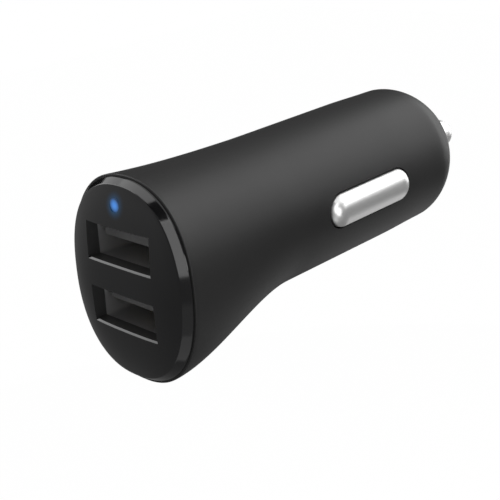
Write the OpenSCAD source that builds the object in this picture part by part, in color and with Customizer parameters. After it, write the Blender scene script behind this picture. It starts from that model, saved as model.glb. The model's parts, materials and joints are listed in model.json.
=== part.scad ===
// Dual USB charger for a car's 12 V socket, in mm.
// Frame: +Y along the barrel toward its tip, +Z up, +X to the right seen from behind the face.
// The origin is on the barrel's axis where the flared head becomes the round barrel.

/* [Barrel] */
// Barrel diameter, set by the car's 12 V socket
barrel_d = 20.9; // [20.0:0.1:21.2]
// Length of the true cylinder
barrel_len = 24.8; // [20:0.2:30]
// Length of the barrel's leading land, behind the side contacts
land_len = 8.6; // [6:0.2:12]
// How much smaller the leading land is than the barrel, on each side
land_step = 0.17; // [0.16:0.01:0.4]
// Length of the rounded end
end_len = 9.7; // [7:0.1:12]
// Wall of the shell
wall = 1.3; // [1.2:0.1:2]

/* [Head] */
// Distance from the face's rim to the start of the barrel
head_len = 27; // [22:0.5:32]
// Half width of the head at its lip
lip_a = 11.8; // [11:0.1:13]
// Half height of the head at its lip
lip_b = 13.55; // [12.5:0.05:15]
// Height of the face's centre against the barrel's axis
face_z = -2.0; // [-3:0.1:0]
// Backward lean of the face, in degrees
face_tilt = 3.8; // [0:0.2:8]
// Superellipse exponent of the face's outline
face_n = 2.27; // [2:0.01:3]
// Where the bottom of the flare meets the barrel, in front of the origin
flare_bottom_y = -5; // [-8:0.2:-2]
// Where the sides of the flare meet the barrel
flare_side_y = -3; // [-6:0.2:-1]

/* [Bezel] */
// Width of the chamfered rim at the sides
rim_w = 0.86; // [0.5:0.01:1.5]
// Width of the chamfered rim at the top and bottom
rim_h = 0.68; // [0.4:0.01:1.2]
// Depth of the chamfered rim
rim_depth = 1.0; // [0.5:0.1:1.6]
// Height of the face's crown over its rim
crown = 1.0; // [0:0.1:1.6]
// Shadow gap between the bezel and the lip
shadow_gap = 0.35; // [0.2:0.05:0.6]
// Thickness of the front plate behind the rim's plane
plate_t = 2.4; // [1.6:0.1:3]
// How far the bezel's skirt reaches into the shell
skirt_len = 4.5; // [3:0.5:7]
// Clearance between the skirt and the shell
skirt_gap = 0.08; // [0.05:0.01:0.2]

/* [USB ports] */
// Width of a port's opening
port_w = 12.5; // [12.3:0.1:13]
// Height of a port's opening
port_h = 5.0; // [4.8:0.1:5.6]
// Distance between the two ports' centres
port_pitch = 8.56; // [8:0.02:11]
// Height of the point midway between the ports, in the head's frame
port_mid_z = -1.59; // [-3:0.01:0]
// Metal thickness of a USB can
can_t = 0.3; // [0.25:0.05:0.4]
// Length of a USB can
can_len = 9.5; // [9:0.5:14]
// Thickness of the USB tongue
tongue_t = 1.84; // [1.7:0.02:2]
// Width of the USB tongue
tongue_w = 11.1; // [10.9:0.1:11.4]
// How far the tongue's end sits behind the face's rim plane
tongue_back = 4.6; // [4.2:0.1:6]

/* [Power light] */
// Height of the light pipe in the head's frame
light_z = 8.15; // [7:0.05:9]
// Diameter of the light pipe at the face
light_d = 1.8; // [1.4:0.1:3]

/* [Boards] */
// Thickness of both boards
board_t = 1.2; // [0.8:0.1:1.6]
// Clearance between a board's edge and the shell
board_clear = 0.5; // [0.3:0.1:1]
// Height of the power board's top
power_board_z = -3.5; // [-4:0.1:-3]

/* [Side contacts] */
// Length of a side contact's pill
pill_len = 16.3; // [12:0.1:20]
// Width of a side contact's pill
pill_w = 4.7; // [3.5:0.1:6]
// How far a side contact stands out of the barrel
pill_out = 1.2; // [0.8:0.1:2]
// Distance of the pills' centre from the origin
pill_y = 7.4; // [5:0.1:12]
// Gap between a pill and its slot, on each side
pill_gap = 0.15; // [0.1:0.05:0.3]

/* [Centre contact] */
// Diameter of the centre contact's pin
pin_d = 4.5; // [3.5:0.1:6]
// Distance from the origin to the pin's end
pin_end_y = 39.8; // [38:0.1:44]
// Gap between the pin and its hole, on each side
pin_gap = 0.1; // [0.05:0.05:0.3]
// Wire of the centre contact's spring
spring_wire = 0.6; // [0.4:0.1:0.8]
// Turns of the centre contact's spring
spring_turns = 4; // [3:1:7]

/* [Hidden] */
$fn = 64;
ring_n = 72;
barrel_r = barrel_d / 2;
bore_r = barrel_r - wall;
land_r = barrel_r - land_step;
face_y = -head_len;
rim_a = lip_a - 0.33;
rim_b = lip_b - 0.33;
lip_y = rim_depth + shadow_gap;
lean = -face_tilt;
lip_centre_y = face_y + lip_y * cos(lean) - face_z * sin(lean);
lip_centre_z = lip_y * sin(lean) + face_z * cos(lean);
skirt_a = lip_a - wall - skirt_gap;
skirt_b = lip_b - wall - skirt_gap;
skirt_taper = 0.14 * skirt_len;
skirt_t = skirt_taper + 0.7;
upper_z = port_mid_z + port_pitch / 2;
lower_z = port_mid_z - port_pitch / 2;
can_back = plate_t + can_len;
front_board_y = can_back;
// The faceted flare ends this much inside the true cylinder, so their faces never touch
neck_step = 0.04;
end_r = 3.6;
nose_r = 5;
nose_y = 23.6;
end_wall = 2.2;
flange_t = 1.0;
seat_t = 0.8;
end_exp_in = 1.7;
end_exp_out = 1.5;
// Where the rounded end is cut off square at radius end_r
end_y = barrel_len + end_len * pow(1 - pow(end_r / land_r, end_exp_out), 1 / end_exp_in);
flange_y = end_y - end_wall;
pill_flange = 1.0;
pill_flange_t = 0.6;
pill_in_x = bore_r - 1.45;
pill_x = barrel_r + pill_out;
block_x = 4.2;
block_len = 17;
leaf_t = 0.3;
leaf_w = 3.4;

black = [0.1, 0.1, 0.1];
gloss = [0.05, 0.05, 0.06];
nickel = [0.8, 0.8, 0.78];
gold = [0.85, 0.7, 0.35];
green = [0.1, 0.35, 0.2];

// Shapes used by several pieces

// Cubic from v0 at t = 0 with slope s0 to v1 at t = 1 with no slope
function ease(t, v0, v1, s0) =
    let (u = min(1, max(0, t)))
    (2 * u * u * u - 3 * u * u + 1) * v0 + (u * u * u - 2 * u * u + u) * s0 + (3 * u * u - 2 * u * u * u) * v1;

// One closed ring of a superellipse, leaned about X by tau around its own centre
function ring(a, b, y, z, n = 2, tau = 0, count = ring_n) = [
    for (i = [0:count - 1])
        let (w = 360 * i / count,
             c = cos(w), s = sin(w),
             px = a * sign(c) * pow(abs(c), 2 / n),
             pz = b * sign(s) * pow(abs(s), 2 / n))
        [px, y - pz * sin(tau), z + pz * cos(tau)]];

// Skin over rings that run from low y to high y
module loft(rings) {
    m = len(rings[0]);
    k = len(rings);
    points = [for (r = rings) for (p = r) p];
    sides = [for (j = [0:k - 2]) for (i = [0:m - 1])
        let (a = j * m + i, b = j * m + (i + 1) % m, c = b + m, d = a + m)
        each [[a, b, c], [a, c, d]]];
    first = [for (i = [m - 1:-1:0]) i];
    last = [for (i = [0:m - 1]) (k - 1) * m + i];
    polyhedron(points, concat([first], sides, [last]));
}

// The head's own frame: its face's rim plane is y = 0 there
module in_head() {
    translate([0, face_y, 0]) rotate([lean, 0, 0]) children();
}

module along_y(y) {
    translate([0, y, 0]) rotate([-90, 0, 0]) children();
}

module disc_y(r, y0, y1) {
    along_y(y0) cylinder(r = r, h = y1 - y0);
}

module box(x0, x1, y0, y1, z0, z1) {
    translate([x0, y0, z0]) cube([x1 - x0, y1 - y0, z1 - z0]);
}

// Top, bottom and half width of the head's flare, from its lip at t = 0 to the barrel at t = 1
flare_len = -lip_centre_y;
function flare_top(t) = ease(t, lip_centre_z + lip_b, barrel_r, -0.1 * flare_len);
function flare_bottom(t) =
    ease(t * flare_len / (flare_bottom_y - lip_centre_y), lip_centre_z - lip_b, -barrel_r, -1.2);
function flare_side(t) = ease(t * flare_len / (flare_side_y - lip_centre_y), lip_a, barrel_r, -2.6);

// Ring of the flare, drawn in by inset
function flare_ring(t, inset) =
    let (top = flare_top(t), bottom = flare_bottom(t),
         n = face_n + (2 - face_n) * min(1, t * 1.2))
    ring(flare_side(t) - inset, (top - bottom) / 2 - inset, lip_centre_y + t * flare_len,
        (top + bottom) / 2, n, lean * (1 - t));

// A superellipse ring in the head's own frame
function head_ring(a, b, y) = ring(a, b, y, face_z, face_n);

// Casing

// Outline of the leading land and the rounded end, as far as the flat round the pin
function end_curve() = [
    [land_r, barrel_len - land_len],
    for (i = [0:14])
        let (d = (end_y - barrel_len) * (1 - pow(1 - i / 14, 1.6)) / end_len)
        [land_r * pow(1 - pow(d, end_exp_in), 1 / end_exp_out), barrel_len + d * end_len]];

module body_shell() {
    steps = 24;
    color(black) difference() {
        union() {
            loft([for (i = [0:steps]) flare_ring(i / steps, neck_step * i / steps)]);
            rotate([-90, 0, 0]) mirror([0, 1, 0])
                rotate_extrude() polygon(concat([[0, 0], [barrel_r, 0], [barrel_r, barrel_len - land_len]],
                    end_curve(), [[0, end_y]]));
        }
        // Cavity of the head, open at the lip
        loft(concat([ring(lip_a - wall + 0.3, lip_b - wall + 0.3, lip_centre_y - 3, lip_centre_z, face_n, lean)],
            [for (i = [1:2:steps]) flare_ring(i / steps, wall + 3 * neck_step * i / steps)],
            [ring(bore_r - 3 * neck_step, bore_r - 3 * neck_step, 1, 0)]));
        disc_y(bore_r, 0.2, nose_y);
        disc_y(nose_r, nose_y - 1, flange_y);
        disc_y(pin_d / 2 + pin_gap, flange_y - 1, end_y + 1);
        for (side = [0, 1]) mirror([side, 0, 0])
            translate([bore_r - 2.5, pill_y, 0]) rotate([0, 90, 0]) rotate([0, 0, 90])
                linear_extrude(height = 6) stadium(pill_len + 2 * pill_gap, pill_w + 2 * pill_gap);
    }
}

module stadium(length, width) {
    square([length - width, width], center = true);
    for (s = [-1, 1]) translate([s * (length - width) / 2, 0]) circle(d = width);
}

// One USB cut-out, in the head's frame
module port_cut() {
    box(-port_w / 2, port_w / 2, -crown - 1, plate_t + 1, -port_h / 2, port_h / 2);
}

module front_bezel() {
    crown_steps = 7;
    color(gloss) in_head() difference() {
        loft(concat(
            [for (i = [1:crown_steps])
                let (q = 1.15 * i / (crown_steps + 1.05))
                head_ring((rim_a - rim_w) * q, (rim_b - rim_h) * q, -crown * (1 - pow(q, 4)))],
            [head_ring(rim_a - rim_w, rim_b - rim_h, 0),
             head_ring(rim_a, rim_b, rim_depth),
             head_ring(rim_a - 0.02, rim_b - 0.02, rim_depth + 0.1),
             head_ring(rim_a - 0.6, rim_b - 0.6, rim_depth + 0.12),
             head_ring(rim_a - 0.62, rim_b - 0.62, lip_y),
             head_ring(skirt_a, skirt_b, lip_y),
             head_ring(skirt_a - skirt_taper, skirt_b - skirt_taper, lip_y + skirt_len)]));
        loft([head_ring(skirt_a - skirt_t, skirt_b - skirt_t, plate_t),
              head_ring(skirt_a - skirt_t, skirt_b - skirt_t, lip_y + skirt_len + 1)]);
        for (z = [upper_z, lower_z]) translate([0, 0, z]) port_cut();
        translate([0, 0, light_z]) {
            $fn = 36;
            disc_y(light_d / 2 + 0.03, -crown - 1, plate_t + 1);
            disc_y(pipe_r + 0.05, plate_t, lip_y + skirt_len + 1);
        }
    }
}

// Power light

pipe_r = light_d / 2 + 0.4;
led_h = 0.85;

module light_pipe() {
    color([0.5, 0.75, 1, 0.6]) in_head() translate([0, 0, light_z]) {
        disc_y(light_d / 2, -crown * 0.55, plate_t);
        disc_y(pipe_r, plate_t, front_board_y - led_h);
    }
}

module power_led() {
    color([0.95, 0.95, 0.85]) in_head()
        box(-1.6, 1.6, front_board_y - led_h, front_board_y, light_z - 0.8, light_z + 0.8);
}

// USB sockets, each built round its own centre in the head's frame

module usb_can(z) {
    color(nickel) in_head() translate([0, 0, z]) difference() {
        box(-port_w / 2 - can_t, port_w / 2 + can_t, plate_t, can_back, -port_h / 2 - can_t, port_h / 2 + can_t);
        box(-port_w / 2, port_w / 2, plate_t - 1, can_back + 1, -port_h / 2, port_h / 2);
    }
}

// Four blind grooves on the tongue's lower face carry the contacts
contact_x = [-3.5, -1, 1, 3.5];
contact_w = 1.0;
contact_t = 0.3;
tongue_z = 0.7;
block_y = can_back - 4.2;

module usb_tongue(z) {
    color([0.15, 0.15, 0.15]) in_head() translate([0, 0, z]) difference() {
        union() {
            box(-tongue_w / 2, tongue_w / 2, tongue_back, block_y, tongue_z, tongue_z + tongue_t - 0.2);
            box(-port_w / 2, port_w / 2, block_y, can_back, -port_h / 2, port_h / 2);
        }
        for (i = [0:3]) contact_groove(i);
    }
}

module contact_groove(i) {
    box(contact_x[i] - contact_w / 2, contact_x[i] + contact_w / 2,
        tongue_back + 0.8, can_back + 1, tongue_z - 0.5, tongue_z + contact_t);
}

module usb_contact(i, z) {
    color(gold) in_head() translate([0, 0, z])
        box(contact_x[i] - contact_w / 2, contact_x[i] + contact_w / 2,
            tongue_back + 0.8, can_back, tongue_z - 0.1, tongue_z + contact_t);
}

// Boards and what they carry

// Where the front board's back stands along the flare
board_t_flare = 1 + (face_y + front_board_y + board_t + 0.6) / flare_len;
front_board_a = flare_side(board_t_flare) - wall - board_clear;
front_board_b = (flare_top(board_t_flare) - flare_bottom(board_t_flare)) / 2 - wall - board_clear - 0.4;
front_board_z = (flare_top(board_t_flare) + flare_bottom(board_t_flare)) / 2 - front_board_y * sin(lean);
header_w = 10;
header_len = 2.5;

module front_board() {
    outline = [for (p = ring(front_board_a, front_board_b, 0, front_board_z, 2.1, 0, 48)) [p[0], -p[2]]];
    color(green) in_head() along_y(front_board_y) linear_extrude(height = board_t) polygon(outline);
}

power_board_front = face_y + front_board_y + board_t + 0.4;
power_board_bottom = power_board_z - board_t;
power_board_a = sqrt(pow(bore_r, 2) - pow(power_board_bottom, 2)) - 0.3 * board_clear;
block_front = pill_y - block_len / 2;

module board_header() {
    color(black) box(-header_w / 2, header_w / 2, power_board_front, power_board_front + header_len,
        power_board_z, power_board_z + 2.5);
}

module power_board() {
    color(green) box(-power_board_a, power_board_a, power_board_front, nose_y, power_board_bottom, power_board_z);
}

chip_len = 4;

module converter_chip() {
    color(black) translate([0, pill_y - 3.4, 0])
        box(-2.5, 2.5, -chip_len / 2, chip_len / 2, power_board_bottom - 1.5, power_board_bottom);
}

// The coil stands between the header and the contact block
coil_gap = 0.95;
coil_r = (block_front - power_board_front - header_len) / 2 - coil_gap;
coil_y = block_front - coil_gap - coil_r;
coil_h = 5;
coil_flange = 0.8;
post_r = 0.55 * coil_r;

module coil_core() {
    color([0.25, 0.25, 0.27]) translate([0, coil_y, power_board_z]) rotate_extrude() polygon([
        [0, 0], [coil_r, 0], [coil_r, coil_flange], [post_r, coil_flange],
        [post_r, coil_h - coil_flange], [coil_r, coil_h - coil_flange], [coil_r, coil_h], [0, coil_h]]);
}

module coil_winding() {
    color([0.75, 0.4, 0.2]) translate([0, coil_y, power_board_z + coil_flange]) difference() {
        cylinder(r = coil_r - 0.3, h = coil_h - 2 * coil_flange);
        translate([0, 0, -1]) cylinder(r = post_r, h = coil_h);
    }
}

// The input capacitor lies across the board, between the contact block and the spring seat
in_cap_r = 2.5;
in_cap_gap = 1.5;

module input_capacitor() {
    color([0.2, 0.25, 0.45]) translate([-3.6, nose_y - in_cap_gap - in_cap_r, power_board_z + in_cap_r])
        rotate([0, 90, 0]) cylinder(r = in_cap_r, h = 7.2);
}

// Round parts under the board fill the room that the bore leaves
under_r = (bore_r + power_board_bottom - 0.25) / 2;

module output_capacitor() {
    color([0.2, 0.25, 0.45]) translate([0, 0, power_board_bottom - under_r])
        disc_y(under_r, power_board_front + 3, pill_y - 6.9);
}

module fuse() {
    r = under_r - 0.6;
    color([0.85, 0.85, 0.8]) translate([0, 0, power_board_bottom - r]) disc_y(r, nose_y - 14.6, nose_y - 5.6);
}

// Centre contact

module centre_contact() {
    r = pin_d / 2;
    color(nickel) rotate([-90, 0, 0]) mirror([0, 1, 0]) rotate_extrude() polygon(concat(
        [[0, flange_y - flange_t], [4.4, flange_y - flange_t], [4.4, flange_y], [r, flange_y]],
        [for (i = [0:8]) let (w = i * 90 / 8) [r - 1.2 + 1.2 * cos(w), pin_end_y - 1.2 + 1.2 * sin(w)]],
        [[0, pin_end_y]]));
}

module spring_seat() {
    color(gold) disc_y(nose_r - 0.05, nose_y, nose_y + seat_t);
}

module nose_spring() {
    coil(3.4, spring_wire / 2, nose_y + seat_t + spring_wire / 2, flange_y - flange_t - spring_wire / 2);
}

// Height along a coil after u turns: the end turns lie close, the others are spread evenly
function coil_rise(u, height, close) =
    close * min(u, 1) + (height - 2 * close) * min(1, max(0, (u - 1) / spring_turns))
    + close * max(0, u - 1 - spring_turns);

module coil(r, wire_r, y0, y1) {
    side_n = 8;
    per_turn = 20;
    turns = spring_turns + 2;
    color([0.7, 0.7, 0.7]) loft([for (i = [0:turns * per_turn])
        let (w = 360 * i / per_turn,
             y = y0 + coil_rise(i / per_turn, y1 - y0, 2.1 * wire_r))
        [for (k = [0:side_n - 1]) let (v = 360 * k / side_n, q = r + wire_r * cos(v))
            [q * cos(w), y + wire_r * sin(v), q * sin(w)]]]);
}

// Side contacts, built for the right side and mirrored for the left

// Outline from the pill's axis outwards: flange, neck and rounded crown
function pill_outline() = let (w = pill_w / 2, crown_h = 1.3) concat(
    [[0, pill_in_x], [w + pill_flange, pill_in_x], [w + pill_flange, pill_in_x + pill_flange_t],
     [w, pill_in_x + pill_flange_t]],
    [for (i = [0:8]) let (v = i * 90 / 8)
        [w * pow(cos(v), 0.75), pill_x - crown_h + crown_h * pow(sin(v), 0.75)]]);

module side_contact() {
    half = (pill_len - pill_w) / 2;
    color(nickel) translate([0, pill_y, 0]) rotate([0, 90, 0]) {
        translate([0, half, 0]) rotate([90, 0, 0]) linear_extrude(height = 2 * half) union() {
            polygon(pill_outline());
            mirror([1, 0]) polygon(pill_outline());
        }
        for (s = [0, 1]) mirror([0, s, 0]) translate([0, half, 0])
            rotate_extrude(angle = 180) polygon(pill_outline());
    }
}

module contact_block() {
    color([0.85, 0.85, 0.8]) difference() {
        box(-block_x, block_x, pill_y - block_len / 2, pill_y + block_len / 2, power_board_z, 3);
        for (s = [0, 1]) mirror([s, 0, 0])
            box(block_x - 0.8, block_x + 1, pill_y - block_len / 2 + 0.8, pill_y + block_len / 2 - 0.8, -1.9, 4);
    }
}

// A bow between the block's recess and the side contact's flange
module bow_spring() {
    span = block_len - 2.4;
    foot_x = block_x - 0.8 + 0.01;
    rise = pill_in_x - 0.01 - foot_x - leaf_t;
    bend_r = (span * span / 4 + rise * rise) / (2 * rise);
    half_w = asin(span / 2 / bend_r);
    color([0.75, 0.7, 0.55]) translate([0, pill_y, -leaf_w / 2]) linear_extrude(height = leaf_w)
        polygon(concat(
            [for (i = [-8:8]) let (w = i * half_w / 8)
                [foot_x + rise - bend_r + bend_r * cos(w), bend_r * sin(w)]],
            [for (i = [8:-1:-8]) let (w = i * half_w / 8, q = bend_r + leaf_t)
                [foot_x + rise - bend_r + q * cos(w), q * sin(w)]]));
}

body_shell();
front_bezel();
light_pipe();
power_led();
usb_can(upper_z);  // upper_usb_can
usb_tongue(upper_z);  // upper_usb_tongue
usb_contact(0, upper_z);  // upper_vbus_contact
usb_contact(1, upper_z);  // upper_data_minus_contact
usb_contact(2, upper_z);  // upper_data_plus_contact
usb_contact(3, upper_z);  // upper_ground_contact
usb_can(lower_z);  // lower_usb_can
usb_tongue(lower_z);  // lower_usb_tongue
usb_contact(0, lower_z);  // lower_vbus_contact
usb_contact(1, lower_z);  // lower_data_minus_contact
usb_contact(2, lower_z);  // lower_data_plus_contact
usb_contact(3, lower_z);  // lower_ground_contact
front_board();
board_header();
power_board();
converter_chip();
coil_core();
coil_winding();
input_capacitor();
output_capacitor();
fuse();
centre_contact();
nose_spring();
spring_seat();
contact_block();
side_contact();  // right_side_contact
mirror([1, 0, 0]) side_contact();  // left_side_contact
bow_spring();  // right_bow_spring
mirror([1, 0, 0]) bow_spring();  // left_bow_spring
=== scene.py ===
"""Twin USB charger for a car's 12 V socket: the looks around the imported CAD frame."""
import json
import math
import bpy
from mathutils import Matrix, Vector


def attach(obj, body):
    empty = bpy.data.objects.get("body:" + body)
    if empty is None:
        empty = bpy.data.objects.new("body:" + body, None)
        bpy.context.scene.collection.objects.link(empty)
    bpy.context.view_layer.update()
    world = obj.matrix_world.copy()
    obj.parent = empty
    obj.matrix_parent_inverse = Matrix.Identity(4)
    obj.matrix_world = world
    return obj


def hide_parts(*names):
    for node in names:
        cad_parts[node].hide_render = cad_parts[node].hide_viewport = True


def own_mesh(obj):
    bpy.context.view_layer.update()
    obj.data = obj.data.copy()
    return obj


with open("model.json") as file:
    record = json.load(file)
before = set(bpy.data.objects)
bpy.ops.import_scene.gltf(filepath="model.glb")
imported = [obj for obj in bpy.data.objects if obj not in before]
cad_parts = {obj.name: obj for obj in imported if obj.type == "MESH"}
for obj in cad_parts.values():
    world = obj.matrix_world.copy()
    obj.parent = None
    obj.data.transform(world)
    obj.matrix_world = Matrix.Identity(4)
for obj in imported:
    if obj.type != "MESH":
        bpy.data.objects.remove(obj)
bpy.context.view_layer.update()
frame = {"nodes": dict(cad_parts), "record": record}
nodes = frame["nodes"]
slots = {part["node"]: part["material_slot"] for part in frame["record"]["subparts"]}
MM = 0.001

# Sizes in mm that the part's source has too
BARREL_R, BARREL_LEN, LAND_R, LAND_START = 10.45, 24.8, 10.28, 16.2
END_LEN, END_R, END_IN, END_OUT = 9.7, 3.6, 1.7, 1.5
END_Y = BARREL_LEN + END_LEN * (1 - (END_R / LAND_R) ** END_OUT) ** (1 / END_IN)
END_WALL, HOLE_R, NOSE_R, NOSE_Y, SEAT_T = 2.2, 2.35, 5.0, 23.6, 0.8
WALL, HEAD_LEN, LIP_A, LIP_B, LIP_Y, FACE_Z, FACE_N = 1.3, 27.0, 11.8, 13.55, 1.35, -2.0, 2.27
LEAN = -math.radians(3.8)
FLARE_BOTTOM_Y, FLARE_SIDE_Y = -5.0, -3.0
RIM_A, RIM_B, RIM_W, RIM_H, RIM_DEPTH, CROWN = 11.47, 13.22, 0.86, 0.68, 1.0, 1.0
FACE_A, FACE_B = RIM_A - RIM_W, RIM_B - RIM_H
PLATE_T, SKIRT_LEN, SKIRT_GAP = 2.4, 4.5, 0.08
PORT_W, PORT_H, UPPER_Z, LOWER_Z = 12.5, 5.0, 2.69, -5.87
CAN_T, CAN_BACK, TONGUE_W = 0.3, 11.9, 11.1
CONTACT_X, CONTACT_W = (-3.5, -1.0, 1.0, 3.5), 1.0
LIGHT_Z, LIGHT_R = 8.15, 0.9
PILL_LEN, PILL_W, PILL_X, PILL_IN_X, BOW_FOOT_X = 16.3, 4.7, 11.65, 7.7, 3.4
PILL_GAP, PILL_FLANGE, PILL_FLANGE_T, PILL_TRAVEL = 0.15, 1.0, 0.6, 1.25
PIN_R, PIN_TIP_Y, PIN_FLANGE_R, PIN_FLANGE_T, PIN_TRAVEL = 2.25, 39.8, 4.4, 1.0, 2.5

# Sizes in mm that only the looks have, or that follow the photograph more closely than the solids
LIP_FRONT_Y, LIP_ROUND, PORT_EDGE = 1.15, 0.15, 0.22
CAN_FRONT, TONGUE_FRONT, TONGUE_Z, TONGUE_T, BLOCK_Y = 1.0, 1.6, 0.15, 1.75, 7.7
PILL_Y, PILL_CROWN = 8.1, 1.7
CLEAR = 0.05


def in_head(x, y, z):
    """From the head's leaned frame to the part's frame, in metres."""
    return Vector((x, -HEAD_LEN + y * math.cos(LEAN) - z * math.sin(LEAN),
                   y * math.sin(LEAN) + z * math.cos(LEAN))) * MM


# Camera

def place_camera():
    """The photograph's view: the face's centre is 130.59 mm away, at pixel (124.26, 267.44) of 500."""
    azimuth, height, roll = math.radians(48.0), math.radians(21.27), math.radians(-6.4)
    away, focal, u, v = 130.59, 1055.82, 124.26, 267.44
    picture, sensor = 500, 36
    back = Vector((math.sin(azimuth) * math.cos(height), -math.cos(azimuth) * math.cos(height), math.sin(height)))
    side = Vector((math.cos(azimuth), math.sin(azimuth), 0))
    up = back.cross(side)
    right = side * math.cos(roll) + up * math.sin(roll)
    top = -side * math.sin(roll) + up * math.cos(roll)
    centre = (back * away - right * ((u - picture / 2) / focal * away)
              + top * ((v - picture / 2) / focal * away))
    data = bpy.data.cameras.new("camera")
    data.lens, data.sensor_width, data.clip_start = focal / picture * sensor, sensor, 0.005
    camera = bpy.data.objects.new("camera", data)
    bpy.context.scene.collection.objects.link(camera)
    turn = Matrix((right, top, back)).transposed().to_4x4()
    camera.matrix_world = Matrix.Translation((centre + Vector((0, -HEAD_LEN, 0))) * MM) @ turn
    bpy.context.scene.camera = camera


# Materials

class Value:
    """A shader socket that Python's arithmetic can use."""

    def __init__(self, finish, socket):
        self.finish, self.socket = finish, socket

    def math(self, operation, *terms):
        return self.finish.node("ShaderNodeMath", {"operation": operation}, dict(enumerate(terms)))

    def __add__(self, other):
        return self.math("ADD", self, other)

    def __sub__(self, other):
        return self.math("SUBTRACT", self, other)

    def __mul__(self, other):
        return self.math("MULTIPLY", self, other)

    def __rsub__(self, other):
        return self.math("SUBTRACT", other, self)

    def __pow__(self, other):
        return self.math("POWER", self, other)

    __radd__, __rmul__ = __add__, __mul__

    def without_sign(self):
        return self.math("ABSOLUTE", self)

    def clamped(self):
        return self.math("MAXIMUM", self.math("MINIMUM", self, 1), 0)


class Finish:
    """One Principled material. Fixed numbers go on its sockets, and patterns are linked to them."""

    def __init__(self, name, colour, roughness, **fixed):
        self.material = bpy.data.materials.new(name)
        self.material.use_nodes = True
        self.tree = self.material.node_tree
        self.shader = self.tree.nodes["Principled BSDF"]
        self.set("Base Color", colour)
        self.set("Roughness", roughness)
        for key, value in fixed.items():
            self.set(key.replace("_", " "), value)

    def node(self, kind, settings=None, values=None, out=0):
        """A node of any kind, with its settings, its sockets' values or links, and the output that is used."""
        made = self.tree.nodes.new(kind)
        for key, value in (settings or {}).items():
            setattr(made, key, value)
        for key, value in (values or {}).items():
            self.feed(made.inputs[key], value)
        return Value(self, made.outputs[out])

    def feed(self, socket, value):
        if isinstance(value, Value):
            self.tree.links.new(value.socket, socket)
        elif socket.type == "RGBA" and len(value) == 3:
            socket.default_value = (*value, 1)
        else:
            socket.default_value = value

    def set(self, name, value):
        self.feed(self.shader.inputs[name], value)

    def place(self):
        return self.node("ShaderNodeTexCoord", out="Object")

    def axes(self):
        """A point's x, y and z in metres."""
        return (self.node("ShaderNodeSeparateXYZ", None, {0: self.place()}, axis) for axis in range(3))

    def noise(self, scale, detail=2, rough=0.5, stretch=None):
        where = self.place()
        if stretch:
            where = self.node("ShaderNodeMapping", None, {"Vector": where, "Scale": stretch})
        return self.node("ShaderNodeTexNoise", None,
                         {"Vector": where, "Scale": scale, "Detail": detail, "Roughness": rough})

    def mix(self, factor, first, second):
        """A colour between two others."""
        made = self.tree.nodes.new("ShaderNodeMix")
        made.data_type = "RGBA"
        self.feed(made.inputs["Factor"], factor)
        self.feed(made.inputs[6], first)
        self.feed(made.inputs[7], second)
        return Value(self, made.outputs[2])

    def bump(self, height, strength, distance):
        self.set("Normal", self.node("ShaderNodeBump", None,
                                     {"Height": height, "Strength": strength, "Distance": distance}))

    def from_light(self):
        """How far a point is from the power light's axis, in metres."""
        gap = self.node("ShaderNodeVectorMath", {"operation": "SUBTRACT"},
                        {0: self.place(), 1: tuple(in_head(0, 0, LIGHT_Z))})
        flat = self.node("ShaderNodeVectorMath", {"operation": "MULTIPLY"}, {0: gap, 1: (1, 0, 1)})
        return self.node("ShaderNodeVectorMath", {"operation": "LENGTH"}, {0: flat}, "Value")

    def within(self, place, middle, width):
        """1 inside a band across one axis, given in mm."""
        away = (place - middle * MM).without_sign()
        return away.math("LESS_THAN", away, (width / 2 + 0.01) * MM)

    def wear(self, spread, dark, light, grain, rough, swing):
        """Colour that drifts between two tones and roughness that drifts with a finer grain."""
        colour = self.mix(self.noise(spread, 3), dark, light)
        roughness = (self.noise(grain, 4) - 0.5) * swing + rough
        self.set("Base Color", colour)
        self.set("Roughness", roughness)
        return colour, roughness


def soft_touch():
    """The shell's matt black, with the fine grain of its paint."""
    f = Finish("soft_touch", (0.008,) * 3, 0.48, Specular_IOR_Level=0.35)
    f.wear(160, (0.007,) * 3, (0.0088, 0.0086, 0.0086), 2200, 0.48, 0.06)
    f.bump(f.noise(9000, 2, 0.6), 0.25, 0.00002)
    return f.material


def gloss_black():
    """The bezel's gloss, matt on the ports' walls, and with a painted glow of the power light round its hole."""
    wall_tone, wall_matt, painted_glow_reach = 0.014, 0.35, 2.2
    f = Finish("gloss_black", (0.005,) * 3, 0.1, Specular_IOR_Level=0.5)
    colour, rough = f.wear(220, (0.0052, 0.0052, 0.0054), (0.0064, 0.0064, 0.0068), 1500, 0.1, 0.03)
    x, y, z = f.axes()
    up = z * math.cos(LEAN) - (y + HEAD_LEN * MM) * math.sin(LEAN)
    upper, lower = (f.within(up, middle + PORT_EDGE / 2, PORT_H - PORT_EDGE) for middle in (UPPER_Z, LOWER_Z))
    walls = f.within(x, 0, PORT_W) * (upper + lower)
    f.set("Base Color", f.mix(walls, colour, (wall_tone,) * 3))
    f.set("Roughness", walls * wall_matt + rough)
    # Painted glow: the bezel's own blue emission, fading out from the light's hole, stands in for the power light
    # shining on it.
    painted_glow = (1 - f.from_light() * (1 / (painted_glow_reach * LIGHT_R * MM))).clamped() ** 2
    f.set("Emission Color", f.mix(painted_glow, (0, 0, 0), (0.01, 0.1, 0.24)))
    f.set("Emission Strength", 1.0)
    f.bump(f.noise(700, 2), 0.05, 0.00002)
    return f.material


def satin_nickel():
    """The contacts' plating, brushed along their length."""
    f = Finish("satin_nickel", (0.8,) * 3, 0.37, Metallic=1.0)
    f.wear(300, (0.77, 0.77, 0.765), (0.83, 0.83, 0.825), 2600, 0.37, 0.08)
    f.bump(f.noise(1800, 3, 0.6, stretch=(1, 0.06, 1)), 0.2, 0.00002)
    return f.material


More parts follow.
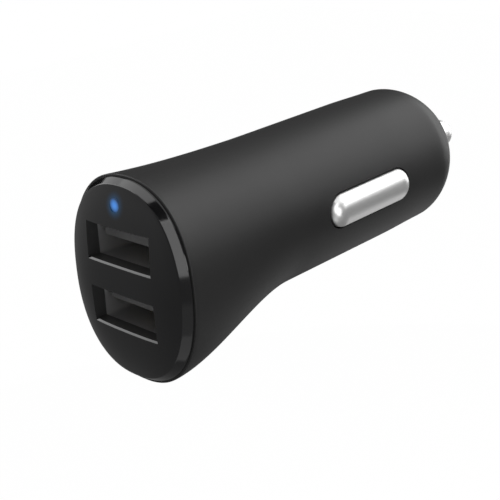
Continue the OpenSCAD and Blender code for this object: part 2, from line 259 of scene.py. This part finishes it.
def power_light():
    """Clear rod whose end glows blue, brightest at its middle."""
    f = Finish("light_pipe", (0.03, 0.06, 0.12), 0.25)
    share = f.from_light() * (1 / (LIGHT_R * MM))
    glow = (1 - share * share).clamped() ** 1.2
    f.set("Emission Color", f.mix(glow, (0.003, 0.01, 0.03), (0.045, 0.21, 0.63)))
    f.set("Emission Strength", 1.0)
    return f.material


def plain(name, dark, light, rough, spread=300, metallic=0.0, grain=3000, lift=0.1):
    """A finish between two tones with a faint grain."""
    f = Finish(name, light, rough, Metallic=metallic)
    f.wear(spread, dark, light, grain, rough, rough * 0.3)
    f.bump(f.noise(grain * 0.5, 3), lift, 0.00003)
    return f.material


def wound_wire(name, dark, light, pitch):
    """Wound enamelled wire: fine ridges round the coil."""
    f = Finish(name, light, 0.35, Metallic=0.7)
    wave = f.node("ShaderNodeTexWave", {"bands_direction": "Z"},
                  {"Vector": f.place(), "Scale": 1 / pitch, "Distortion": 0.4, "Detail": 1})
    f.set("Base Color", f.mix(wave, dark, light))
    f.bump(wave, 0.6, 0.0001)
    return f.material


# Modelling

def set_mode(mode):
    bpy.ops.object.mode_set(mode=mode)


def select_only(obj=None):
    """Leave one object selected, or none."""
    bpy.ops.object.select_all(action="DESELECT")
    if obj:
        obj.select_set(True)
        bpy.context.view_layer.objects.active = obj


def apply(obj, modifier):
    select_only(obj)
    bpy.ops.object.modifier_apply(modifier=modifier.name)


def stack(name, sides, count, place, closed=False):
    """A disc extruded ring by ring. place says where a ring's vertex goes, from the ring's number and
    the vertex's angle. closed joins the last ring to the first, for a shell with a way through."""
    select_only()
    bpy.ops.mesh.primitive_circle_add(vertices=sides, radius=1, fill_type="NGON")
    obj = bpy.context.object
    obj.name = name
    set_mode("EDIT")
    bpy.ops.mesh.select_all(action="SELECT")
    for _ in range(count - 1):
        bpy.ops.mesh.extrude_region_move(TRANSFORM_OT_translate={"value": (0, 0, 1)})
    set_mode("OBJECT")
    for vertex in obj.data.vertices:
        vertex.co = place(round(vertex.co.z), math.atan2(vertex.co.y, vertex.co.x))
    set_mode("EDIT")
    if closed:
        bpy.ops.mesh.select_all(action="DESELECT")
        set_mode("OBJECT")
        for face in obj.data.polygons:
            face.select = len(face.vertices) > 4
        set_mode("EDIT")
        bpy.ops.mesh.delete(type="FACE")
        bpy.ops.mesh.select_all(action="SELECT")
        bpy.ops.mesh.remove_doubles(threshold=1e-6)
    bpy.ops.mesh.select_all(action="SELECT")
    bpy.ops.mesh.normals_make_consistent(inside=False)
    set_mode("OBJECT")
    return obj


def combine(obj, operation, *tools):
    """Cut tools out of an object, or join them to it."""
    for tool in tools:
        modifier = obj.modifiers.new("combine", "BOOLEAN")
        modifier.operation, modifier.object, modifier.solver = operation, tool, "EXACT"
        apply(obj, modifier)
        bpy.data.objects.remove(tool)


def smooth(obj, degrees=30):
    """Smooth shading, with an edge kept where faces meet at more than this angle."""
    select_only(obj)
    bpy.ops.object.shade_smooth_by_angle(angle=math.radians(degrees))


def finish_piece(obj, material, body, node):
    """Give a piece its finish and its body, in place of a CAD node."""
    obj.data.materials.clear()
    obj.data.materials.append(material)
    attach(obj, body)
    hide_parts(node)


def arc(degrees):
    """Sine and cosine of an angle in degrees."""
    return math.sin(math.radians(degrees)), math.cos(math.radians(degrees))


def lobed(a, b, angle, n):
    """A point on a superellipse with half axes a and b."""
    c, s = math.cos(angle), math.sin(angle)
    return (a * math.copysign(abs(c) ** (2 / n), c), b * math.copysign(abs(s) ** (2 / n), s))


def ease(t, start, end, slope):
    """From start to end as t goes from 0 to 1, leaving with a slope and arriving level."""
    u = min(1, max(0, t))
    return ((2 * u ** 3 - 3 * u * u + 1) * start + (u ** 3 - 2 * u * u + u) * slope
            + (3 * u * u - 2 * u ** 3) * end)


# Shell

LIP_CENTRE_Y = -HEAD_LEN + LIP_Y * math.cos(LEAN) - FACE_Z * math.sin(LEAN)
LIP_CENTRE_Z = LIP_Y * math.sin(LEAN) + FACE_Z * math.cos(LEAN)


def flare_point(t, inset, angle):
    """The head's flare between its lip, t = 0, and the barrel, t = 1. Top, bottom and sides leave the
    lip with slopes of their own, and the face's outline turns into the barrel's circle."""
    length = -LIP_CENTRE_Y
    top = ease(t, LIP_CENTRE_Z + LIP_B, BARREL_R, -0.1 * length)
    bottom = ease(t * length / (FLARE_BOTTOM_Y - LIP_CENTRE_Y), LIP_CENTRE_Z - LIP_B, -BARREL_R, -1.2)
    side = ease(t * length / (FLARE_SIDE_Y - LIP_CENTRE_Y), LIP_A, BARREL_R, -2.6)
    n = FACE_N + (2 - FACE_N) * min(1, t * 1.2)
    x, z = lobed(side - inset, (top - bottom) / 2 - inset, angle, n)
    tilt = LEAN * (1 - t)
    return Vector((x, LIP_CENTRE_Y + t * length - z * math.sin(tilt),
                   (top + bottom) / 2 + z * math.cos(tilt))) * MM


def body_shell():
    """One moulding: inner wall, lip, flare, barrel, rounded end and the pin's hole."""
    inside_steps, flare_steps, end_steps = 14, 56, 40
    bore_r, bore_start, flange_y = BARREL_R - WALL, 0.6, END_Y - END_WALL
    rings = [("round", HOLE_R, flange_y), ("round", NOSE_R, flange_y), ("round", NOSE_R, NOSE_Y),
             ("round", bore_r, NOSE_Y), ("round", bore_r, bore_start)]
    rings += [("flare", 1 - i / inside_steps, WALL) for i in range(inside_steps + 1)]
    # The lip's rounded edges, inner and outer: how far behind the front, and how far inside the outline
    for s, c in map(arc, (0, 30, 60, 90)):
        rings.append(("lip", LIP_ROUND * (1 - s), WALL + LIP_ROUND * (c - 1)))
    for s, c in map(arc, (0, 22, 45, 68)):
        rings.append(("lip", LIP_ROUND * (1 - c), LIP_ROUND * (1 - s)))
    rings += [("flare", (i / flare_steps) ** 1.15, 0) for i in range(1, flare_steps + 1)]
    # The barrel every half millimetre up to the land, and a soft taper down to the land
    rings += [("round", BARREL_R, y / 2) for y in range(1, 33)]
    rings += [("round", BARREL_R + (LAND_R - BARREL_R) * arc(i * 10)[0] ** 1.5, LAND_START + i) for i in range(9)]
    for i in range(1, end_steps + 1):
        along = (END_Y - BARREL_LEN) * (1 - (1 - i / end_steps) ** 1.6) / END_LEN
        rings.append(("round", LAND_R * (1 - along ** END_IN) ** (1 / END_OUT), BARREL_LEN + along * END_LEN))
    # The hole's edge is broken
    rings += [("round", HOLE_R + 0.3, END_Y), ("round", HOLE_R + 0.1, END_Y - 0.05),
              ("round", HOLE_R, END_Y - 0.3), ("round", HOLE_R, flange_y)]

    def place(j, angle):
        kind, a, b = rings[j]
        if kind == "round":
            return Vector((a * math.cos(angle), b, a * math.sin(angle))) * MM
        if kind == "flare":
            return flare_point(a, b, angle)
        x, z = lobed(LIP_A - b, LIP_B - b, angle, FACE_N)
        return in_head(x, LIP_FRONT_Y + a, FACE_Z + z)

    shell = stack("shell", 144, len(rings), place, closed=True)
    combine(shell, "DIFFERENCE", slot_tool("right_slot", 1), slot_tool("left_slot", -1))
    smooth(shell, 32)
    return shell


# Sprung contacts

PILL_SIDES = 62


def stadium_point(radius, angle):
    """A pill's outline seen from its side: its place along the barrel and its height."""
    half = (PILL_LEN - PILL_W) / 2
    return (PILL_Y + (math.copysign(half, math.cos(angle)) + radius * math.cos(angle)), radius * math.sin(angle))


def slot_tool(name, side):
    """A side contact's slot, whose outer edge opens."""
    # Distance from the axis, and how much wider the slot is there
    way_out = [(6, 0.0), (9.9, 0.0), (10.7, 0.18), (13, 1.2)]

    def place(j, angle):
        x, wider = way_out[j]
        y, z = stadium_point(PILL_W / 2 + PILL_GAP + wider, angle)
        return Vector((side * x, y, z)) * MM

    return stack(name, PILL_SIDES, len(way_out), place)


def side_contact(name, side):
    """The pressed pill: a flange inside the shell, a straight neck and a soft crown."""
    w, crown_steps, softness, neck_end = PILL_W / 2, 18, 0.88, 0.3
    flange_x = PILL_IN_X + PILL_FLANGE_T
    profile = [(w + PILL_FLANGE, PILL_IN_X), (w + PILL_FLANGE, flange_x), (w, flange_x),
               (w, PILL_X - PILL_CROWN - neck_end)]
    for s, c in (arc(i * 90 / crown_steps) for i in range(1, crown_steps)):
        profile.append((w * c ** softness, PILL_X - PILL_CROWN + PILL_CROWN * s))
    profile.append((0.02, PILL_X))

    def place(j, angle):
        radius, x = profile[j]
        y, z = stadium_point(radius, angle)
        return Vector((side * x, y, z)) * MM

    pill = stack(name, PILL_SIDES, len(profile), place)
    smooth(pill, 50)
    return pill


def centre_contact():
    """The turned centre pin: its flange bears on the end wall, and its end is domed."""
    flange_y, dome_rings, dome_step = END_Y - END_WALL, 16, 5.95
    profile = [(0.02, flange_y - PIN_FLANGE_T), (PIN_FLANGE_R, flange_y - PIN_FLANGE_T),
               (PIN_FLANGE_R, flange_y), (PIN_R, flange_y)]
    for s, c in (arc(i * dome_step) for i in range(dome_rings)):
        profile.append((PIN_R * c, PIN_TIP_Y - PIN_R + PIN_R * s))

    def place(j, angle):
        radius, y = profile[j]
        return Vector((radius * math.cos(angle), y, radius * math.sin(angle))) * MM

    pin = stack("pin", 72, len(profile), place)
    smooth(pin, 50)
    return pin


def sprung(node, axis, ends, travel):
    """A smoothed copy of a spring, set on the housing in place of its node; its ends are in mm along the axis. It
    keeps its length as its contact is pressed.
    """
    spring = bpy.data.objects.new(node + "_flexing", nodes[node].data.copy())
    bpy.context.scene.collection.objects.link(spring)
    select_only(spring)
    set_mode("EDIT")
    bpy.ops.mesh.select_all(action="SELECT")
    bpy.ops.mesh.remove_doubles(threshold=1e-6)
    set_mode("OBJECT")
    smooth(spring, 50)
    finish_piece(spring, FINISHES[slots[node]], "housing", node)
    length = ends[1] - ends[0]
    Vector(axis) * ends[0] * MM
    (length - travel) / length
    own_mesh(spring)


# Front

def crown_at(reach):
    """The crowned face's y in the head's frame, from its centre, where reach is 0, to the rim, where it is 1."""
    return -CROWN * (1 - reach ** 4)


def crown_depth(x, z):
    """The crowned face's y in the head's frame at a place on it."""
    reach = (abs(x / FACE_A) ** FACE_N + abs((z - FACE_Z) / FACE_B) ** FACE_N) ** (1 / FACE_N)
    return crown_at(min(1, reach))


def front_bezel():
    """Crowned face, chamfered rim and the tapered skirt that slides into the shell's mouth."""
    crown_rings, ledge, skirt_wall = 26, 0.6, 0.6
    skirt_a, skirt_b = LIP_A - WALL - SKIRT_GAP, LIP_B - WALL - SKIRT_GAP
    skirt_end = LIP_Y + SKIRT_LEN
    rings = [(FACE_A * q, FACE_B * q, crown_at(q))
             for q in [0.02] + [i / crown_rings for i in range(1, crown_rings)]]
    # The chamfer between its two softened edges
    rings += [(FACE_A - 0.06, FACE_B - 0.05, -0.03), (FACE_A + 0.02, FACE_B + 0.015, 0.005),
              (FACE_A + 0.1, FACE_B + 0.08, 0.09), (RIM_A - 0.12, RIM_B - 0.1, RIM_DEPTH - 0.14),
              (RIM_A - 0.03, RIM_B - 0.03, RIM_DEPTH - 0.04)]
    # The ledge behind the rim, the skirt's outside, its inside and the plate's back
    rings += [(RIM_A, RIM_B, RIM_DEPTH + 0.06), (RIM_A - ledge, RIM_B - ledge, RIM_DEPTH + 0.12),
              (RIM_A - ledge - 0.02, RIM_B - ledge - 0.02, LIP_Y), (skirt_a, skirt_b, LIP_Y),
              (skirt_a - skirt_wall, skirt_b - skirt_wall, skirt_end),
              (skirt_a - 2 * skirt_wall, skirt_b - 2 * skirt_wall, skirt_end),
              (skirt_a - 2 * skirt_wall, skirt_b - 2 * skirt_wall, PLATE_T), (2, 2, PLATE_T)]

    def place(j, angle):
        x, z = lobed(rings[j][0], rings[j][1], angle, FACE_N)
        return in_head(x, rings[j][2], FACE_Z + z)

    bezel = stack("bezel", 144, len(rings), place)
    combine(bezel, "DIFFERENCE", port_tool("upper_port", UPPER_Z), port_tool("lower_port", LOWER_Z), light_tool())
    smooth(bezel, 25)
    return bezel


def port_tool(name, centre_z):
    """A port's opening: its lower front edge is broken along the crown, and the can seats behind it."""
    room = CAN_T + CLEAR
    # Depth of each ring, whether that depth is from the crown, and what it adds to the opening below
    rings = [(PLATE_T + 1, False, 0), (CAN_FRONT, False, 0), (CAN_FRONT, False, -PORT_EDGE),
             (PORT_EDGE, True, -PORT_EDGE), (0, True, 0), (-0.4, True, 0.4)]
    select_only()
    bpy.ops.mesh.primitive_grid_add(x_subdivisions=24, y_subdivisions=10, size=2)
    tool = bpy.context.object
    tool.name = name
    set_mode("EDIT")
    bpy.ops.mesh.select_all(action="SELECT")
    for _ in rings[1:]:
        bpy.ops.mesh.extrude_region_move(TRANSFORM_OT_translate={"value": (0, 0, 1)})
    set_mode("OBJECT")
    for vertex in tool.data.vertices:
        j = round(vertex.co.z)
        depth, from_crown, below = rings[j]
        side = room if j < 2 else 0
        x = vertex.co.x * (PORT_W / 2 + side)
        z = vertex.co.y * (PORT_H / 2 + side) + min(0, vertex.co.y) * below + centre_z
        vertex.co = in_head(x, depth + (crown_depth(x, z) if from_crown else 0), z)
    set_mode("EDIT")
    bpy.ops.mesh.select_all(action="SELECT")
    bpy.ops.mesh.normals_make_consistent(inside=False)
    set_mode("OBJECT")
    return tool


def light_tool():
    """The power light's hole through the bezel."""
    r, ends = LIGHT_R + 0.03, (-2.5, 9)

    def place(j, angle):
        return in_head(r * math.cos(angle), ends[j], LIGHT_Z + r * math.sin(angle))

    return stack("light_hole", 48, len(ends), place)


# USB sockets

def block(name, x, y, z, bevel):
    """A block in the head's leaned frame, between two places on each axis, with softened edges."""
    select_only()
    bpy.ops.mesh.primitive_cube_add(size=1)
    obj = bpy.context.object
    obj.name = name
    for vertex in obj.data.vertices:
        vertex.co = in_head(*(pair[int(c > 0)] for pair, c in zip((x, y, z), vertex.co)))
    modifier = obj.modifiers.new("edges", "BEVEL")
    modifier.width, modifier.segments = bevel * MM, 3
    apply(obj, modifier)
    return obj


def usb_can(name, centre_z):
    """The socket's folded steel can."""
    w, h, squareness = PORT_W / 2, PORT_H / 2, 14
    rings = [(w, h, CAN_FRONT), (w, h, CAN_BACK),
             (w + CAN_T, h + CAN_T, CAN_BACK), (w + CAN_T, h + CAN_T, CAN_FRONT)]

    def place(j, angle):
        half_x, half_z, y = rings[j % len(rings)]
        x, z = lobed(half_x, half_z, angle, squareness)
        return in_head(x, y, z + centre_z)

    can = stack(name, 96, len(rings) + 1, place, closed=True)
    smooth(can, 30)
    return can


def usb_tongue(name, centre_z):
    """The black tongue between the plug's shell and its contacts, in one with the block behind it."""
    tongue = block(name, (-TONGUE_W / 2, TONGUE_W / 2), (TONGUE_FRONT, BLOCK_Y + 0.5),
                   (centre_z + TONGUE_Z, centre_z + TONGUE_Z + TONGUE_T), 0.15)
    back = block(name + "_block", (-PORT_W / 2 + CLEAR, PORT_W / 2 - CLEAR), (BLOCK_Y, CAN_BACK),
                 (centre_z - PORT_H / 2 + CLEAR, centre_z + PORT_H / 2 - CLEAR), 0.1)
    combine(tongue, "UNION", back)
    smooth(tongue)
    return tongue


def usb_contact(name, i, centre_z):
    """One gilt strip along the tongue's lower face. The two data strips start further back."""
    data_step = 0.6 * (i in (1, 2))
    strip = block(name, (CONTACT_X[i] - CONTACT_W / 2, CONTACT_X[i] + CONTACT_W / 2),
                  (TONGUE_FRONT + 0.8 + data_step, CAN_BACK),
                  (centre_z + TONGUE_Z - 0.1, centre_z + TONGUE_Z + 0.2), 0.05)
    smooth(strip)
    return strip


# Stage

# Sizes in metres, and the share of the floor's glow in what is seen of it
FLOOR_Z, DRUM_R, DRUM_TOP, DRUM_GAP = -0.14, 0.25, 0.22, 0.002
SEEN_GLOW = 0.95


def seen(tree):
    """1 for rays that show the background: the camera's, and those in gloss and through clear parts."""
    path = tree.nodes.new("ShaderNodeLightPath")
    last = path.outputs["Is Camera Ray"]
    for name in ("Is Glossy Ray", "Is Transmission Ray"):
        either = tree.nodes.new("ShaderNodeMath")
        either.operation = "MAXIMUM"
        tree.links.new(last, either.inputs[0])
        tree.links.new(path.outputs[name], either.inputs[1])
        last = either.outputs[0]
    return last


def paper(name, glow, colour, share=None):
    """Stage paper: a diffuse colour and a glow, mixed by share. Where share is None, the glow is for the
    rays that show the background."""
    material = bpy.data.materials.new(name)
    material.use_nodes = True
    tree = material.node_tree
    tree.nodes.clear()
    sheet = tree.nodes.new("ShaderNodeBsdfDiffuse")
    sheet.inputs["Color"].default_value = (colour, colour, colour, 1)
    light = tree.nodes.new("ShaderNodeEmission")
    light.inputs["Strength"].default_value = glow
    mix = tree.nodes.new("ShaderNodeMixShader")
    if share is None:
        part = tree.nodes.new("ShaderNodeMath")
        part.operation = "MULTIPLY"
        part.inputs[1].default_value = SEEN_GLOW
        tree.links.new(seen(tree), part.inputs[0])
        tree.links.new(part.outputs[0], mix.inputs[0])
    else:
        mix.inputs[0].default_value = share
    tree.links.new(sheet.outputs[0], mix.inputs[1])
    tree.links.new(light.outputs[0], mix.inputs[2])
    out = tree.nodes.new("ShaderNodeOutputMaterial")
    tree.links.new(mix.outputs[0], out.inputs["Surface"])
    return material


def drum_paper():
    """Grey that brightens upwards at the front left, which the face mirrors, and darkens at the back left."""
    f = Finish("drum", (0.03,) * 3, 1.0, Specular_IOR_Level=0.0, Emission_Strength=1.0)
    x, y, z = f.axes()
    upper_left = ((z + 0.08) * 10).clamped() * (0 - x * 10).clamped()
    front = (0.5 - y * 10).clamped()
    glow = f.mix(upper_left * (1 - front), (0.2,) * 3, (0.08,) * 3)
    f.set("Emission Color", f.mix(upper_left * front, glow, (0.42,) * 3))
    return f.material


def on_stage(obj, name, material):
    """Put a thing's place into its mesh, dress it and keep it out of the object."""
    obj.name = name
    obj.data.transform(obj.matrix_world)
    obj.matrix_world = Matrix.Identity(4)
    obj.data.materials.append(material)


def floor_and_drum():
    """White floor, and a grey drum round the object that only its gloss and its shade see."""
    select_only()
    bpy.ops.mesh.primitive_plane_add(size=1.6, location=(0, 0, FLOOR_Z))
    on_stage(bpy.context.object, "floor", paper("floor", glow=1.03, colour=0.8))
    select_only()
    bpy.ops.mesh.primitive_cylinder_add(vertices=96, radius=DRUM_R, depth=DRUM_TOP - FLOOR_Z - DRUM_GAP,
                                        end_fill_type="NGON",
                                        location=(0, 0, (DRUM_TOP + FLOOR_Z) / 2 + DRUM_GAP))
    drum = bpy.context.object
    set_mode("EDIT")
    bpy.ops.mesh.select_all(action="DESELECT")
    set_mode("OBJECT")
    for face in drum.data.polygons:
        face.select = face.normal.z > 0.5
    set_mode("EDIT")
    bpy.ops.mesh.delete(type="FACE")
    set_mode("OBJECT")
    on_stage(drum, "drum", drum_paper())
    drum.visible_camera = drum.visible_shadow = False


def surroundings():
    """White where it is seen, grey where it only lights."""
    world = bpy.data.worlds.new("studio")
    bpy.context.scene.world = world
    world.use_nodes = True
    tree = world.node_tree
    mix = tree.nodes.new("ShaderNodeMix")
    mix.data_type = "RGBA"
    mix.inputs[6].default_value = (0.45, 0.45, 0.45, 1)
    mix.inputs[7].default_value = (1, 1, 1, 1)
    tree.links.new(seen(tree), mix.inputs["Factor"])
    tree.links.new(mix.outputs[2], tree.nodes["Background"].inputs["Color"])


def facing(direction, distance, roll, target):
    """The place and turn of a flat thing that looks at a target from a direction."""
    way = Vector(direction).normalized()
    turn = way.to_track_quat("Z", "Y").to_matrix().to_4x4() @ Matrix.Rotation(math.radians(roll), 4, "Z")
    return Matrix.Translation(target + way * distance) @ turn


def softbox(name, target, direction, distance, width, height, brightness, roll=0):
    """An area lamp whose face shows this brightness, where 1 is white."""
    data = bpy.data.lights.new(name, "AREA")
    data.shape, data.size, data.size_y = "RECTANGLE", width, height
    data.energy = brightness * math.pi * width * height
    lamp = bpy.data.objects.new(name, data)
    bpy.context.scene.collection.objects.link(lamp)
    lamp.matrix_world = facing(direction, distance, roll, target)
    lamp.visible_camera = False


def flag(name, target, direction, distance, width, height):
    """A black card that keeps light out of the rim's gloss."""
    select_only()
    bpy.ops.mesh.primitive_plane_add(size=1)
    card = bpy.context.object
    card.matrix_world = facing(direction, distance, 0, target) @ Matrix.Diagonal((width, height, 1, 1))
    bpy.context.view_layer.update()
    on_stage(card, name, paper(name, glow=0.0, colour=0.01, share=0))
    card.visible_camera = False


def lights():
    """Lamps behind model the barrel, and those aimed at the face draw its rim and edges.
    Each has its target, direction, distance, width, height and brightness."""
    middle, face = Vector(), in_head(0, 0, 0)
    pill_front = Vector((PILL_X, PILL_Y - PILL_LEN / 2, 0)) * MM
    softbox("key", middle, (0.5, 0.5, 0.71), 0.21, 0.1, 0.1, 3.3)
    softbox("top_back", middle, (0.06, 0.7, 0.71), 0.21, 0.1, 0.1, 1.7)
    softbox("back_right", middle, (0.81, 0.47, 0.34), 0.21, 0.1, 0.1, 2.1)
    softbox("back_middle", middle, (0.47, 0.81, 0.34), 0.21, 0.1, 0.1, 1.6)
    softbox("back_left", middle, (0, 0.94, 0.34), 0.21, 0.1, 0.1, 2.0)
    softbox("back_low", middle, (-0.35, 0.9, -0.25), 0.21, 0.1, 0.08, 0.8)
    softbox("nose_edge", middle, (0.17, 0.97, 0.02), 0.21, 0.08, 0.09, 1.9)
    softbox("under_back", middle, (0.1, 0.72, -0.69), 0.17, 0.16, 0.08, 0.4)
    softbox("under_front", face, (0.5, -0.56, -0.74), 0.13, 0.09, 0.12, 0.18)
    softbox("under_edge", face, (0.38, -0.45, -0.81), 0.12, 0.08, 0.055, 0.34)
    softbox("front_right", face, (0.65, -0.68, 0.34), 0.21, 0.1, 0.28, 2.3)
    softbox("rim_top", face, (-0.56, -0.14, 0.82), 0.19, 0.286, 0.06, 1.3, roll=52)
    softbox("port_edges", face, (-0.77, -0.37, 0.53), 0.19, 0.16, 0.07, 2.7, roll=43)
    softbox("pill_end", pill_front, (0.88, -0.46, -0.06), 0.15, 0.07, 0.09, 2.8)
    flag("rim_gap", face, (0.13, -0.51, 0.85), 0.18, 0.11, 0.062)
    flag("rim_end", face, (-0.96, 0.27, 0.14), 0.18, 0.075, 0.08)


place_camera()
floor_and_drum()
surroundings()
lights()

black = soft_touch()
gloss = gloss_black()
nickel = satin_nickel()
can_steel = plain("can_steel", (0.38, 0.38, 0.385), (0.44, 0.44, 0.445), 0.5, metallic=1.0, lift=0.05)
tongue_black = plain("tongue_plastic", (0.08,) * 3, (0.1,) * 3, 0.45)
gold = plain("gold", (0.7, 0.5, 0.18), (0.85, 0.65, 0.25), 0.28, metallic=1.0)
FINISHES = {
    "soft_touch": black, "gloss_black": gloss, "nickel": nickel,
    "black_plastic": plain("black_plastic", (0.012,) * 3, (0.018,) * 3, 0.45),
    "can_steel": can_steel,
    "board": plain("board", (0.02, 0.1, 0.05), (0.03, 0.16, 0.08), 0.4, spread=500),
    "gold": gold, "light_pipe": power_light(),
    "led_white": plain("led_white", (0.82, 0.8, 0.68), (0.92, 0.9, 0.8), 0.4),
    "ferrite": plain("ferrite", (0.045, 0.045, 0.05), (0.075, 0.075, 0.08), 0.6, lift=0.3),
    "copper": wound_wire("copper", (0.35, 0.14, 0.05), (0.66, 0.32, 0.14), 0.0004),
    "capacitor": plain("capacitor", (0.03, 0.045, 0.13), (0.045, 0.065, 0.18), 0.3),
    "ceramic": plain("ceramic", (0.74, 0.73, 0.68), (0.84, 0.83, 0.79), 0.2),
    "spring_steel": plain("spring_steel", (0.45, 0.45, 0.46), (0.6, 0.6, 0.6), 0.3, metallic=1.0),
    "brass": plain("brass", (0.62, 0.47, 0.2), (0.76, 0.6, 0.3), 0.32, metallic=1.0),
    "white_plastic": plain("white_plastic", (0.72, 0.71, 0.66), (0.8, 0.79, 0.75), 0.5),
    "bronze": plain("bronze", (0.5, 0.36, 0.18), (0.64, 0.48, 0.27), 0.3, metallic=1.0),
}
for node, slot in slots.items():
    nodes[node].data.materials.clear()
    nodes[node].data.materials.append(FINISHES[slot])

finish_piece(body_shell(), black, "housing", "body_shell")
finish_piece(front_bezel(), gloss, "housing", "front_bezel")
finish_piece(side_contact("right_pill", 1), nickel, "right_side_contact", "right_side_contact")
finish_piece(side_contact("left_pill", -1), nickel, "left_side_contact", "left_side_contact")
finish_piece(centre_contact(), nickel, "centre_contact", "centre_contact")

nose_span = (NOSE_Y + SEAT_T, END_Y - END_WALL - PIN_FLANGE_T)
bow_span = (BOW_FOOT_X, PILL_IN_X)
sprung("nose_spring", (0, 1, 0), nose_span, PIN_TRAVEL)
sprung("right_bow_spring", (1, 0, 0), bow_span, PILL_TRAVEL)
sprung("left_bow_spring", (-1, 0, 0), bow_span, PILL_TRAVEL)

for level, centre_z in (("upper", UPPER_Z), ("lower", LOWER_Z)):
    finish_piece(usb_can(level + "_can", centre_z), can_steel, "housing", level + "_usb_can")
    finish_piece(usb_tongue(level + "_tongue", centre_z), tongue_black, "housing", level + "_usb_tongue")
    for i, contact in enumerate(("vbus", "data_minus", "data_plus", "ground")):
        finish_piece(usb_contact(f"{level}_{contact}", i, centre_z), gold, "housing", f"{level}_{contact}_contact")

bpy.context.scene.view_settings.view_transform = "Standard"
